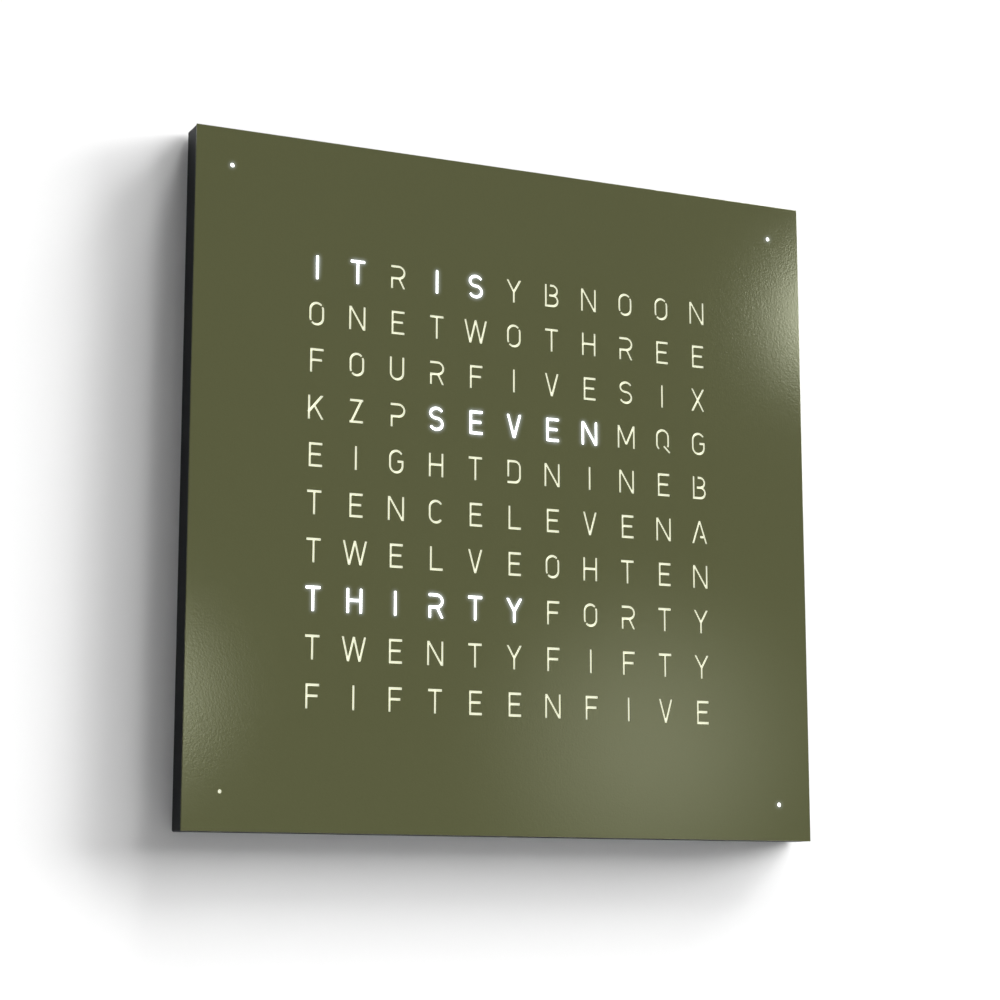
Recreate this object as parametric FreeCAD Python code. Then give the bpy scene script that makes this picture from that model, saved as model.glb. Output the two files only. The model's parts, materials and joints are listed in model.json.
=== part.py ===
"""Wall-hung word clock: a stencilled steel front over an egg-crate of lit letter chambers.

Millimetres.  +X is to the right as seen from the front, +Y points into the wall and +Z is up.
The wall plane is Y = 0, so everything of the clock lies at negative Y.  The row's origin is the
middle of the wall bracket's screw line; the functions below work from the centre of the clock's
front, and export() shifts every solid down by the height of that screw line.
"""
import FreeCAD, Part
import math
import os

Vector = FreeCAD.Vector
X_AXIS = Vector(1, 0, 0)
Y_AXIS = Vector(0, 1, 0)
Z_AXIS = Vector(0, 0, 1)
SIGNS = (-1, 1)
CORNERS = [(i, j) for i in SIGNS for j in SIGNS]
edge_match = 0.01  # how near an edge lies to the place that it is picked by

# Housing
cover_side = 450.0
cover_thickness = 1.0
casing_depth = 17.5
wall_gap = 1.5
corner_radius = 1.2
cover_edge_round = 0.3
casing_edge_chamfer = 0.6
wall_thickness = 5.0
flange_width = 17.0
flange_thickness = 3.5
panel_thickness = 2.0
panel_seat = 2.5
fit_gap = 0.3
screw_inset = 8.0
boss_radius = 3.6
screws_per_side = 4
screw_corner_gap = 37.0

# Letter matrix
columns = 11
rows = 10
side_border = 69.625
end_border = 70.0
chamber_depth = 7.0
rib_thickness = 1.2
chamber_draft = 1.1
grid_rim = 2.0
board_margin = 3.0
board_thickness = 1.6
led_size = (3.5, 0.8, 2.8)
diffuser_thickness = 1.0
diffuser_setback = 0.2
diffuser_overlap = 2.5

# Minute lights
minute_inset = 24.5
minute_hole_radius = 1.3
minute_box_side = 12.0
minute_screw_offset = 9.0
minute_pad_length = 4.0

# Fasteners
screw_radius = 1.5
screw_head_radius = 2.9
screw_head_height = 1.5
screw_gap = 0.05
screw_bite = 4.0
spacer_radius = 3.0
grid_boss_radius = 3.2
nut_width = 5.5
nut_height = 2.0

# Cover fixing
magnet_radius = 4.0
magnet_height = 3.0
pin_radius = 2.0
pin_length = 3.2
pin_chamfer = 0.5
pin_gap = 0.1

# Hanging
sheet_steel = 1.5
bracket_width = 280.0
bracket_flange = 14.0
bracket_offset = 5.0
bracket_lip = 8.0
bend_radius = 0.8
lip_round = 0.6
slot_spacing = 200.0
slot_width = 5.0
slot_length = 12.0
rail_width = 264.0
rail_lip = 6.0
rail_flange = 10.0
lip_gap = 0.3
lift_travel = 8.0
pocket_floor = 8.0
pocket_wall = 1.5
pocket_rim = 3.5
pocket_side_gap = 6.0
pocket_end_gap = 1.0
rivet_radius = 1.6
rivet_head_radius = 3.2
rivet_head_height = 1.2
rivet_dome = 0.95
rivet_spacing = 60.0
bumper_radius = 7.0
bumper_round = 0.5
bumper_inset = 15.0

# Power inlet
inlet_width = 32.0
inlet_height = 42.0
inlet_depth = 9.0
notch_width = 6.0
notch_depth = 5.0
socket_width = 8.94
socket_height = 3.26
socket_length = 7.4
socket_wall = 0.3
socket_base = 1.2
round_shortfall = 0.01
tongue_thickness = 0.7
tongue_setback = 1.2
tongue_side_gap = 0.8
inlet_board_size = (26.0, 14.0)

# Electronics in the side margins
margin_gap = 3.5
control_standoff = 4.6
control_board_size = (40.0, 190.0)
control_board_height = -5.0
control_hole_inset = 4.0
cell_radius = 10.0
cell_thickness = 3.2
cell_rim_round = 0.3
cell_height = 45.0
holder_wall = 1.2
holder_setback = 0.6
chip_size = (10.0, 1.2, 10.0)
chip_height = 20.0
regulator_size = (8.0, 2.2, 8.0)
regulator_height = -32.0
tuner_size = (9.0, 1.4, 12.0)
driver_size = (7.0, 1.0, 7.0)
receiver_board_size = (22.0, 30.0)
antenna_height = 12.0
ferrite_radius = 4.0
ferrite_length = 60.0
coil_radius = 5.2
coil_length = 22.0
clip_width = 6.0
clip_wall = 1.5
connector_height = 3.0

# Battery lid
lid_radius = 14.0
lid_gap = 0.3
lid_tab_reach = 2.2
lid_tab_half_angle = 11.0
lid_turn = 45.0
lid_tab_gap = 0.1
coin_slot = (2.0, 14.0, 1.0)

# Buttons
button_names = ("hour_button", "minute_button", "brightness_button")
button_pitch = 25.0
button_radius = 3.5
button_proud = 0.8
button_gap = 0.15
button_flange_radius = 4.6
button_flange_thickness = 1.2
button_stop_gap = 0.1
button_travel = 1.0
plunger_radius = 1.7
plunger_gap = 0.1
plunger_grip = 1.6
switch_side = 6.0
switch_height = 3.5
switch_chamfer = 0.4
button_board_height = 11.0
button_board_end = 10.0
gusset_side = 6.5

# Cables
ribbon_width = 16.0
ribbon_thickness = 0.9
round_cable_radius = 1.4
link_width = 3.0
link_thickness = 0.8
link_inset = 12.0
plug_side = 6.0
ribbon_inset = 6.0
cable_slack = 3.0
antenna_lead_radius = 0.6
antenna_lead_gap = 1.5
bend_share = 0.45

# Planes, from the wall to the front
back_y = -wall_gap
panel_y = back_y - panel_thickness
front_y = back_y - casing_depth
cover_y = front_y - cover_thickness
flange_y = front_y + flange_thickness
diffuser_front_y = front_y + diffuser_setback
diffuser_back_y = diffuser_front_y + diffuser_thickness
led_board_front_y = diffuser_back_y + chamber_depth
led_board_back_y = led_board_front_y + board_thickness
control_back_y = panel_y - control_standoff
control_front_y = control_back_y - board_thickness

# Half sizes and places in the plane of the front
column_pitch = (cover_side - 2 * side_border) / columns
row_pitch = (cover_side - 2 * end_border) / rows
half = cover_side / 2
inner = half - wall_thickness
opening = half - flange_width
diffuser_half = opening + diffuser_overlap
panel_half = inner + panel_seat
screw_line = half - screw_inset
screw_reach = screw_line - screw_corner_gap
screw_pitch = 2 * screw_reach / (screws_per_side - 1)
between_screws = screw_reach - screw_pitch / 2
minute_place = half - minute_inset
minute_board_end = minute_place - minute_screw_offset - spacer_radius - minute_pad_length
grid_half_x = columns * column_pitch / 2
grid_half_z = rows * row_pitch / 2
led_half_x = grid_half_x + board_margin
led_half_z = grid_half_z + board_margin
margin_x = (led_half_x + inner) / 2

# Hanging levels, from the screw line, which the pocket's height above the matrix sets
bracket_bottom = -bracket_flange / 2
web_bottom = bracket_flange / 2
lip_top = web_bottom + bracket_lip
rail_top = lip_top + sheet_steel + rail_flange
pocket_bottom = bracket_bottom - lift_travel - pocket_end_gap
pocket_top = rail_top + pocket_end_gap
hang_z = led_half_z + margin_gap + pocket_wall - pocket_bottom
pocket_half = bracket_width / 2 + pocket_side_gap

# Screw places through the letter grid, on rib crossings
grid_screws = [
    ((i - columns / 2) * column_pitch, (j - rows / 2) * row_pitch)
    for i in (1, 4, columns - 4, columns - 1)
    for j in (1, rows // 2, rows - 1)
]
minute_screws = [(i * minute_place, j * (minute_place - minute_screw_offset)) for i, j in CORNERS]
control_x = led_half_x + margin_gap + control_board_size[0] / 2
control_screws = [
    (
        control_x + i * (control_board_size[0] / 2 - control_hole_inset),
        control_board_height + j * (control_board_size[1] / 2 - control_hole_inset),
    )
    for i, j in CORNERS
]
receiver_z = antenna_height - ferrite_length / 2 - margin_gap - receiver_board_size[1] / 2
receiver_screws = [
    (-margin_x, receiver_z + j * (receiver_board_size[1] / 2 - control_hole_inset)) for j in SIGNS
]
inlet_top = inlet_height - inner
inlet_board_z = inlet_top + pocket_wall + inlet_board_size[1] / 2
inlet_screws = [
    (
        i * (inlet_board_size[0] / 2 - control_hole_inset),
        inlet_board_z + inlet_board_size[1] / 2 - spacer_radius,
    )
    for i in SIGNS
]
raised_screws = control_screws + receiver_screws + inlet_screws
side_screws = [i * screw_pitch - screw_reach for i in range(screws_per_side)]
casing_screws = [(i * screw_line, place) for i in SIGNS for place in side_screws]
casing_screws += [(place, i * screw_line) for i in SIGNS for place in side_screws]
magnet_places = [(i * screw_line, j * between_screws) for i, j in CORNERS]
magnet_places += [(j * between_screws, i * screw_line) for i, j in CORNERS]
pin_places = [(i * screw_line, j * screw_line) for i, j in CORNERS]

# Buttons, between the two lowest screws of the right-hand side
button_heights = [(i - 1) * button_pitch - between_screws for i in range(len(button_names))]
button_y = panel_y - button_board_height / 2
button_flange_x = inner - button_stop_gap
button_back_x = button_flange_x - button_flange_thickness
switch_x = button_back_x - button_travel - plunger_grip
button_board_x = switch_x - switch_height
button_board_back_x = button_board_x - board_thickness
button_board_span = (button_heights[0] - button_board_end, button_heights[-1] + button_board_end)
switch_depth = 2 * button_travel + plunger_gap

# Battery lid, supply socket and antenna
lid_ring_radius = cell_radius + 2 * holder_wall
lid_tab_thickness = (control_standoff - cell_thickness) / 2
socket_y = control_back_y + socket_height / 2
antenna_y = panel_y - coil_radius - clip_wall

# Cable ends
control_left = control_x - control_board_size[0] / 2
control_foot = control_board_height - control_board_size[1] / 2
receiver_level = -2 * row_pitch
supply_level = row_pitch / 2 - grid_half_z
plug_back_y = control_back_y + connector_height
plug_axis_y = control_back_y + connector_height / 2
ribbon_ends = (led_half_x - ribbon_inset, control_left + ribbon_inset)
ribbon_span = (control_board_height - ribbon_width / 2, control_board_height + ribbon_width / 2)
inlet_plug = (0, inlet_board_z + inlet_board_size[1] / 2 - plug_side / 2)
supply_plug = (control_x, control_foot + plug_side / 2)
receiver_plug = (receiver_board_size[0] / 2 - plug_side / 2 - margin_x, receiver_z)
signal_plug = (control_left + plug_side / 2, receiver_level)


def box(x, y, z):
    """Block between the two values of each of x, y and z."""
    return Part.makeBox(x[1] - x[0], y[1] - y[0], z[1] - z[0], Vector(x[0], y[0], z[0]))


def block(x, z, width, height, y):
    """Block centred at x, z, between the two values of y."""
    return box((x - width / 2, x + width / 2), y, (z - height / 2, z + height / 2))


def rod_y(x, z, radius, y):
    """Cylinder along Y between the two values of y."""
    return Part.makeCylinder(radius, y[1] - y[0], Vector(x, y[0], z), Y_AXIS)


def rod_x(y, z, radius, x):
    """Cylinder along X between the two values of x."""
    return Part.makeCylinder(radius, x[1] - x[0], Vector(x[0], y, z), X_AXIS)


def rounded_plate(half_x, half_z, radius, y):
    """Plate centred on the clock with its four corners rounded, between the two values of y."""
    plate = box((-half_x, half_x), y, (-half_z, half_z))
    return plate.makeFillet(radius, [edge for edge in plate.Edges if edge.BoundBox.YLength > edge_match])


def edges_at(shape, y):
    """Edges that lie in the plane at y."""
    return [edge for edge in shape.Edges
            if abs(edge.BoundBox.YMin - y) < edge_match and abs(edge.BoundBox.YMax - y) < edge_match]


def rods_y(places, radius, y):
    return [rod_y(x, z, radius, y) for x, z in places]


def fuse_all(shape, tools):
    return shape.fuse(tools).removeSplitter()


def export(name, shapes):
    """Write one node, moved into the row's frame."""
    shape = Part.makeCompound(shapes) if isinstance(shapes, list) else shapes
    shape.translate(Vector(0, 0, -hang_z))
    shape.exportStep("parts/" + name + ".step")


# ---- Front cover ------------------------------------------------------------------------------

def front_cover():
    """Steel sheet that hides the whole casing, with the four minute holes in its corners."""
    sheet = rounded_plate(half, half, corner_radius, (cover_y, front_y))
    sheet = sheet.makeFillet(cover_edge_round, edges_at(sheet, cover_y))
    places = [(i * minute_place, j * minute_place) for i, j in CORNERS]
    return sheet.cut(rods_y(places, minute_hole_radius, (cover_y, front_y)))


def cover_pins():
    """Welded studs that carry the cover on the casing and register its holes over the chambers."""
    pins = []
    for x, z in pin_places:
        pin = rod_y(x, z, pin_radius, (front_y, front_y + pin_length))
        pins.append(pin.makeChamfer(pin_chamfer, edges_at(pin, front_y + pin_length)))
    return pins


# ---- Casing -----------------------------------------------------------------------------------

def casing_frame():
    """Deep rim with an inward flange in front, bosses behind it and a rebate at each face."""
    frame = rounded_plate(half, half, corner_radius, (front_y, back_y))
    frame = frame.makeChamfer(casing_edge_chamfer, edges_at(frame, back_y))
    hollow = rounded_plate(inner, inner, corner_radius, (flange_y, back_y))
    window = rounded_plate(opening, opening, corner_radius, (front_y, flange_y))
    seat = rounded_plate(
        diffuser_half + fit_gap, diffuser_half + fit_gap, corner_radius, (front_y, diffuser_back_y)
    )
    rebate = rounded_plate(panel_half + fit_gap, panel_half + fit_gap, corner_radius, (panel_y, back_y))
    frame = frame.cut([hollow, window, seat, rebate])
    frame = fuse_all(frame, rods_y(casing_screws, boss_radius, (flange_y, panel_y)))
    holes = rods_y(casing_screws, screw_radius + screw_gap, (flange_y + rib_thickness, panel_y))
    holes += rods_y(magnet_places, magnet_radius + screw_gap, (front_y, front_y + magnet_height))
    holes += rods_y(pin_places, pin_radius + pin_gap, (front_y, flange_y))
    wall = (inner - fit_gap, half)
    holes += [rod_x(button_y, z, button_radius + button_gap, wall) for z in button_heights]
    holes.append(cable_notch())
    return frame.cut(holes)


def cable_notch():
    """Way out of the plug pocket and the bottom rim for the supply lead."""
    return block(0, pocket_wall / 2 - (inner + half) / 2, notch_width, wall_thickness + pocket_wall,
                 (back_y - notch_depth, back_y))


def panel_openings():
    """The two pockets' windows and the battery lid's keyed hole in the back panel."""
    y = (panel_y, back_y)
    hanger = box((-pocket_half, pocket_half), y, (hang_z + pocket_bottom, hang_z + pocket_top))
    inlet = box((-inlet_width / 2, inlet_width / 2), y, (-inner + pocket_wall, inlet_top))
    lid = rod_y(control_x, cell_height, lid_radius + lid_gap, y)
    keyways = [lid_tab(side, y, lid_turn, lid_gap) for side in SIGNS]
    return [hanger, inlet, lid] + keyways


def back_panel():
    panel = rounded_plate(panel_half, panel_half, corner_radius, (panel_y, back_y))
    places = casing_screws + grid_screws + minute_screws + raised_screws
    holes = [screw_hole(x, z) for x, z in places]
    return panel.cut(panel_openings() + holes + [cable_notch()])


def screw_hole(x, z):
    """Countersunk clearance hole through the back panel."""
    head = Part.makeCone(
        screw_radius + screw_gap,
        screw_head_radius + screw_gap,
        screw_head_height,
        Vector(x, back_y - screw_head_height, z),
        Y_AXIS,
    )
    return head.fuse(rod_y(x, z, screw_radius + screw_gap, (panel_y, back_y)))


def screw(x, z, tip_y):
    """Countersunk screw put in from behind, flush with the back panel."""
    head_y = back_y - screw_head_height
    head = Part.makeCone(screw_radius, screw_head_radius, screw_head_height, Vector(x, head_y, z), Y_AXIS)
    return head.fuse(rod_y(x, z, screw_radius, (tip_y, head_y)))


def spacer(x, z, board_y):
    """Tube that holds a board off the back panel."""
    tube = rod_y(x, z, spacer_radius, (board_y, panel_y))
    return tube.cut(rod_y(x, z, screw_radius + screw_gap, (board_y, panel_y)))


def nut(x, z):
    """Hexagon nut on the front of a raised board."""
    corner = nut_width / math.sqrt(3)
    y = (control_front_y - nut_height, control_front_y)
    angles = [math.radians(60 * i) for i in range(7)]
    points = [Vector(x + corner * math.cos(a), y[0], z + corner * math.sin(a)) for a in angles]
    hexagon = Part.Face(Part.makePolygon(points)).extrude(Vector(0, nut_height, 0))
    return hexagon.cut(rod_y(x, z, screw_radius + screw_gap, y))


def tub(x_half, z, floor_y):
    """Moulded pocket open to the rear, with a rim welded behind the back panel's inner face."""
    shell = box((-x_half - pocket_wall, x_half + pocket_wall), (floor_y - pocket_wall, panel_y),
                (z[0] - pocket_wall, z[1] + pocket_wall))
    rim = box((-x_half - pocket_wall - pocket_rim, x_half + pocket_wall + pocket_rim),
              (panel_y - pocket_wall, panel_y), (z[0] - pocket_wall, z[1] + pocket_wall + pocket_rim))
    return shell.fuse(rim).cut(box((-x_half, x_half), (floor_y, panel_y), z)).removeSplitter()


def wall_bumper(x, z):
    """Soft foot that keeps the casing parallel to the wall."""
    disc = rod_y(x, z, bumper_radius, (back_y, 0))
    return disc.makeFillet(bumper_round, edges_at(disc, 0))


# ---- Hanging ----------------------------------------------------------------------------------

def bent_strip(points, width, outside, inside, lip):
    """Sheet strip of the outline in Y and Z, drawn along X, with its bends and its lip rounded."""
    outline = [Vector(-width / 2, y, hang_z + z) for y, z in points]
    strip = Part.Face(Part.makePolygon(outline + outline[:1])).extrude(Vector(width, 0, 0))

    def bends(corners):
        return [
            edge
            for edge in strip.Edges
            for y, z in corners
            if edge.BoundBox.XLength > width / 2
            and abs(edge.BoundBox.Center.y - y) < edge_match
            and abs(edge.BoundBox.Center.z - hang_z - z) < edge_match
        ]

    strip = strip.makeFillet(bend_radius + sheet_steel, bends(outside))
    strip = strip.makeFillet(bend_radius, bends(inside))
    return strip.makeFillet(lip_round, bends(lip))


def wall_bracket():
    """Z-shaped strip screwed to the wall through two slots, with a lip that stands up in front."""
    lip_y = -bracket_offset
    points = [
        (0, bracket_bottom),
        (0, web_bottom + sheet_steel),
        (lip_y + sheet_steel, web_bottom + sheet_steel),
        (lip_y + sheet_steel, lip_top),
        (lip_y, lip_top),
        (lip_y, web_bottom),
        (-sheet_steel, web_bottom),
        (-sheet_steel, bracket_bottom),
    ]
    strip = bent_strip(points, bracket_width, points[1:6:4], points[2:7:4], points[3:5])
    slots = [slot(i * slot_spacing / 2) for i in SIGNS]
    return strip.cut(slots)


def slot(x):
    """Level slot through the bracket's wall flange."""
    y = (-sheet_steel, 0)
    reach = (slot_length - slot_width) / 2
    ends = [rod_y(x + i * reach, hang_z, slot_width / 2, y) for i in SIGNS]
    return ends[0].fuse([ends[1], block(x, hang_z, 2 * reach, slot_width, y)])


def hanger_rail():
    """Z-shaped strip on the pocket's floor, with a lip that hangs behind the wall bracket's lip."""
    floor_y = -pocket_floor
    lip_y = -bracket_offset + sheet_steel + lip_gap
    points = [
        (floor_y, rail_top),
        (floor_y, lip_top),
        (lip_y, lip_top),
        (lip_y, lip_top - rail_lip),
        (lip_y + sheet_steel, lip_top - rail_lip),
        (lip_y + sheet_steel, lip_top + sheet_steel),
        (floor_y + sheet_steel, lip_top + sheet_steel),
        (floor_y + sheet_steel, rail_top),
    ]
    strip = bent_strip(points, rail_width, points[1:6:4], points[2:7:4], points[3:5])
    return strip.cut(rods_y(rivet_places(), rivet_radius, (floor_y, floor_y + sheet_steel)))


def rivet_places():
    height = hang_z + lip_top + sheet_steel + rail_flange / 2
    return [(i * rivet_spacing, height) for i in (-2, -1, 0, 1, 2)]


def rivet(x, z):
    """Domed rivet through the rail and the pocket's floor."""
    rail_face = -pocket_floor + sheet_steel
    tail_face = -pocket_floor - pocket_wall
    shank = rod_y(x, z, rivet_radius, (tail_face, rail_face))
    head = rod_y(x, z, rivet_head_radius, (rail_face, rail_face + rivet_head_height))
    tail = rod_y(x, z, rivet_head_radius, (tail_face - rivet_head_height, tail_face))
    head = head.makeFillet(rivet_dome, edges_at(head, rail_face + rivet_head_height))
    return shank.fuse([head, tail])


def hanger_pocket():
    pocket = tub(pocket_half, (hang_z + pocket_bottom, hang_z + pocket_top), -pocket_floor)
    floor = (-pocket_floor - pocket_wall, -pocket_floor)
    return pocket.cut(rods_y(rivet_places(), rivet_radius, floor))


# ---- Light chambers ---------------------------------------------------------------------------

def chamber(x, z, width, height, y, draft):
    """Space inside one light chamber, wider towards the diffuser."""
    return Part.makeWedge(
        x - width / 2, y[0], z - height / 2, z - height / 2 + draft, x - width / 2 + draft,
        x + width / 2, y[1], z + height / 2, z + height / 2 - draft, x + width / 2 - draft,
    )


def light_grid():
    """Egg-crate of reflector cups, one to each letter, with screw bosses on its rib crossings."""
    y = (diffuser_back_y, led_board_front_y)
    grid = box((-grid_half_x - grid_rim, grid_half_x + grid_rim), y,
               (-grid_half_z - grid_rim, grid_half_z + grid_rim))
    width = column_pitch - rib_thickness
    height = row_pitch - rib_thickness
    cups = [chamber(x, z, width, height, y, chamber_draft) for x, z in letter_places()]
    grid = grid.cut(cups)
    grid = fuse_all(grid, rods_y(grid_screws, grid_boss_radius, y))
    holes = rods_y(grid_screws, screw_radius + screw_gap, (led_board_front_y - screw_bite, y[1]))
    return grid.cut(holes)


def letter_places():
    return [
        ((column - (columns - 1) / 2) * column_pitch, ((rows - 1) / 2 - row) * row_pitch)
        for row in range(rows)
        for column in range(columns)
    ]


def minute_light_box(i, j):
    """Small chamber behind a minute hole, with its screw boss towards the middle of the side."""
    y = (diffuser_back_y, led_board_front_y)
    x = i * minute_place
    z = j * minute_place
    screw_z = j * (minute_place - minute_screw_offset)
    shell = block(x, z, minute_box_side, minute_box_side, y)
    shell = shell.fuse(rod_y(x, screw_z, grid_boss_radius, y)).removeSplitter()
    side = minute_box_side - 2 * rib_thickness
    hole = rod_y(x, screw_z, screw_radius + screw_gap, (led_board_front_y - screw_bite, y[1]))
    return shell.cut([chamber(x, z, side, side, y, chamber_draft), hole])


def minute_board(i, j):
    """Strip board that carries one minute light."""
    end = minute_place + minute_box_side / 2
    z = sorted((j * minute_board_end, j * end))
    x = i * minute_place
    y = (led_board_front_y, led_board_back_y)
    board = box((x - minute_box_side / 2, x + minute_box_side / 2), y, z)
    return board.cut(rod_y(x, j * (minute_place - minute_screw_offset), screw_radius + screw_gap, y))


def led(x, z):
    width, thickness, height = led_size
    return block(x, z, width, height, (led_board_front_y - thickness, led_board_front_y))


def led_board():
    y = (led_board_front_y, led_board_back_y)
    board = box((-led_half_x, led_half_x), y, (-led_half_z, led_half_z))
    return board.cut(rods_y(grid_screws, screw_radius + screw_gap, y))


def led_drivers():
    """Driver chips on the back of the letter board."""
    width, thickness, height = driver_size
    y = (led_board_back_y, led_board_back_y + thickness)
    return [block(i * 3 * column_pitch, j * 1.5 * row_pitch, width, height, y) for i, j in CORNERS]


def light_sensor():
    """Brightness sensor in the corner of the lowest middle chamber."""
    place = letter_places()[columns * rows - columns // 2 - 1]
    width, thickness, height = led_size
    y = (led_board_front_y - thickness, led_board_front_y)
    return block(place[0] + column_pitch / 4, place[1] - row_pitch / 4, width / 2, height / 2, y)


def diffuser_panel():
    side = diffuser_half
    return rounded_plate(side, side, corner_radius, (diffuser_front_y, diffuser_back_y))


# ---- Control electronics ----------------------------------------------------------------------

def raised_board(x, z, size, screws):
    """Circuit board on the short spacers."""
    y = (control_front_y, control_back_y)
    board = block(x, z, size[0], size[1], y)
    return board.cut(rods_y(screws, screw_radius + screw_gap, y))


def on_board(x, z, size):
    """Component on the front of a raised board."""
    width, thickness, height = size
    return block(x, z, width, height, (control_front_y - thickness, control_front_y))


def coin_cell():
    back = control_back_y + cell_thickness
    cell = rod_y(control_x, cell_height, cell_radius, (control_back_y, back))
    return cell.makeFillet(cell_rim_round, edges_at(cell, control_back_y) + edges_at(cell, back))


def cell_holder():
    """Cradle round the coin cell, open towards the battery lid."""
    outer = 2 * (cell_radius + holder_wall)
    y = (control_back_y, control_back_y + cell_thickness - holder_setback)
    cradle = block(control_x, cell_height, outer, outer, y)
    return cradle.cut(rod_y(control_x, cell_height, cell_radius + screw_gap, y))


def lid_tab(side, y, turn, gap):
    """Bayonet tab on one side of the lid, or the keyway that it passes after its turn."""
    reach = lid_radius + lid_tab_reach + gap
    half_angle = lid_tab_half_angle + math.degrees(2 * gap / lid_radius)
    start = turn - half_angle + (180 if side > 0 else 0)
    sector = Part.makeCylinder(reach, y[1] - y[0], Vector(control_x, y[0], cell_height), Y_AXIS,
                               2 * half_angle)
    sector.rotate(Vector(control_x, 0, cell_height), Y_AXIS, start)
    return sector.cut(rod_y(control_x, cell_height, lid_ring_radius, y))


def battery_lid():
    """Twist lid, flush with the back panel, with two tabs behind the panel and a coin slot."""
    tab_back = panel_y - lid_tab_gap
    lid = rod_y(control_x, cell_height, lid_radius, (tab_back, back_y))
    tab_y = (tab_back - lid_tab_thickness, tab_back)
    ring = rod_y(control_x, cell_height, lid_radius, tab_y)
    ring = ring.cut(rod_y(control_x, cell_height, lid_ring_radius, tab_y))
    lid = lid.fuse([ring] + [lid_tab(side, tab_y, 0, 0) for side in SIGNS]).removeSplitter()
    width, length, depth = coin_slot
    return lid.cut(block(control_x, cell_height, width, length, (back_y - depth, back_y)))


def ferrite_rod():
    return Part.makeCylinder(ferrite_radius, ferrite_length, antenna_base(ferrite_length), Z_AXIS)


def antenna_base(length):
    """Low end of something of this length, centred on the antenna's axis."""
    return Vector(-margin_x, antenna_y, antenna_height - length / 2)


def antenna_coil():
    base = antenna_base(coil_length)
    coil = Part.makeCylinder(coil_radius, coil_length, base, Z_AXIS)
    return coil.cut(Part.makeCylinder(ferrite_radius, coil_length, base, Z_AXIS))


def antenna_clip(side):
    """Saddle that carries one end of the ferrite rod on the back panel."""
    z = antenna_height + side * (ferrite_length / 2 - clip_width)
    radius = ferrite_radius + clip_wall
    base = Vector(-margin_x, antenna_y, z - clip_width / 2)
    ring = Part.makeCylinder(radius, clip_width, base, Z_AXIS)
    foot = block(-margin_x, z, 2 * radius, clip_width, (antenna_y, panel_y))
    return ring.fuse(foot).removeSplitter().cut(
        Part.makeCylinder(ferrite_radius, clip_width, base, Z_AXIS)
    )


# ---- Power inlet ------------------------------------------------------------------------------

def inlet_pocket():
    """Pocket for the supply plug, open to the rear and through the bottom rim."""
    pocket = tub(inlet_width / 2, (-inner + pocket_wall, inlet_top), -wall_gap - inlet_depth)
    return pocket.cut([cable_notch(), socket_body(fit_gap / 2, inlet_top, pocket_wall + pocket_rim)])


def socket_body(grow, z, length):
    """Rounded block of the socket's outline, grown all round, standing on height z."""
    width = socket_width + 2 * grow
    height = socket_height + 2 * grow
    body = box((-width / 2, width / 2), (socket_y - height / 2, socket_y + height / 2), (z, z + length))
    corners = [edge for edge in body.Edges if edge.BoundBox.ZLength > length / 2]
    return body.makeFillet(height / 2 - round_shortfall, corners)


def power_socket():
    """Small reversible supply socket: an oval shell round a thin contact tongue."""
    shell = socket_body(0, inlet_top, socket_length)
    hollow = socket_body(-socket_wall, inlet_top, socket_length - socket_base)
    x = socket_width / 2 - socket_wall - tongue_side_gap
    y = (socket_y - tongue_thickness / 2, socket_y + tongue_thickness / 2)
    tongue = box((-x, x), y, (inlet_top + tongue_setback, inlet_top + socket_length))
    return shell.cut(hollow).fuse(tongue).removeSplitter()


# ---- Buttons ----------------------------------------------------------------------------------

def button_cap(z):
    """Round cap through the side wall, with a collar inside and a socket for its plunger."""
    outer_x = half + button_proud
    cap = rod_x(button_y, z, button_radius, (button_flange_x, outer_x))
    rim = [edge for edge in cap.Edges if edge.BoundBox.XMin > outer_x - edge_match]
    cap = cap.makeFillet(button_proud / 2, rim)
    cap = cap.fuse(rod_x(button_y, z, button_flange_radius, (button_back_x, button_flange_x)))
    socket = rod_x(button_y, z, plunger_radius, (button_back_x, button_back_x + plunger_grip))
    return cap.removeSplitter().cut(socket)


def switch_plunger(z):
    """Plunger pressed into its cap, running in the switch."""
    start = switch_x - switch_depth + button_travel + plunger_gap
    return rod_x(button_y, z, plunger_radius, (start, button_back_x + plunger_grip))


def button_switch(z):
    """Push switch on the upright button board."""
    body = box((button_board_x, switch_x), (button_y - switch_side / 2, button_y + switch_side / 2),
               (z - switch_side / 2, z + switch_side / 2))
    body = body.makeChamfer(switch_chamfer, [e for e in body.Edges if e.BoundBox.XLength > edge_match])
    return body.cut(rod_x(button_y, z, plunger_radius + plunger_gap, (switch_x - switch_depth, switch_x)))


def button_board():
    """Narrow board that stands on the back panel behind the three switches."""
    y = (panel_y - button_board_height, panel_y)
    return box((button_board_back_x, button_board_x), y, button_board_span)


def bracket_heights():
    """Low faces of the two angle pieces, between the switches."""
    return [(low + high - sheet_steel) / 2 for low, high in zip(button_heights, button_heights[1:])]


def button_board_bracket(z):
    """Angle piece that holds the button board upright."""
    outline = [
        Vector(button_board_back_x, panel_y, z),
        Vector(button_board_back_x - gusset_side, panel_y, z),
        Vector(button_board_back_x, panel_y - gusset_side, z),
    ]
    gusset = Part.Face(Part.makePolygon(outline + outline[:1]))
    return gusset.extrude(Vector(0, 0, sheet_steel))


# ---- Cables -----------------------------------------------------------------------------------

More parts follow.
